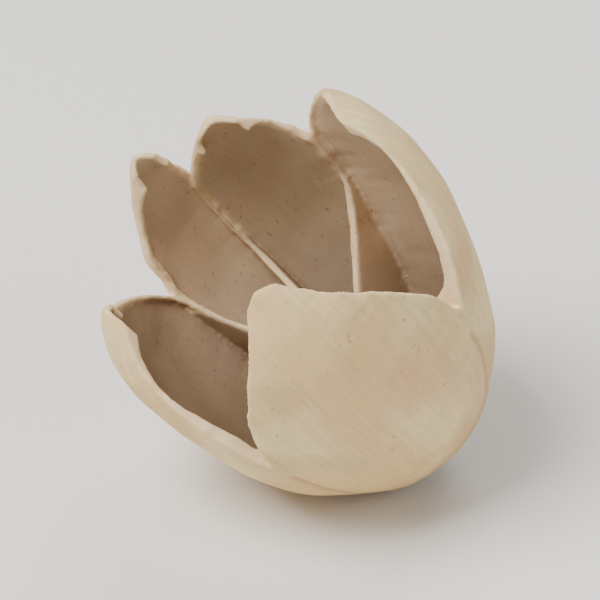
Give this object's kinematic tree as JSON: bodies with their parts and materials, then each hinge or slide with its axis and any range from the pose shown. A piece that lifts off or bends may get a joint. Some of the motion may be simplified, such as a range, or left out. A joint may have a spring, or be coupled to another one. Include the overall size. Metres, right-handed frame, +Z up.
{
  "type": "dried seed pod",
  "caption": "Dried woody seed capsule, tulip-shaped, split from the tip into thin boat-shaped valves above a closed base with a round scar; rests leaning on its side.",
  "frame": {"origin": "on the small flat spot that the pod rests on, at the level of the surface below it", "axes": "+Z up from the resting surface; the pod's open mouth leans towards -X and a little towards -Y"},
  "size_m": [0.023, 0.0218, 0.0258],
  "materials": {
    "dried_capsule_wall": "matt, pale tan outside, browner inside"
  },
  "bodies": {
    "root": {"pod": "dried_capsule_wall"}
  },
  "joints": []
}
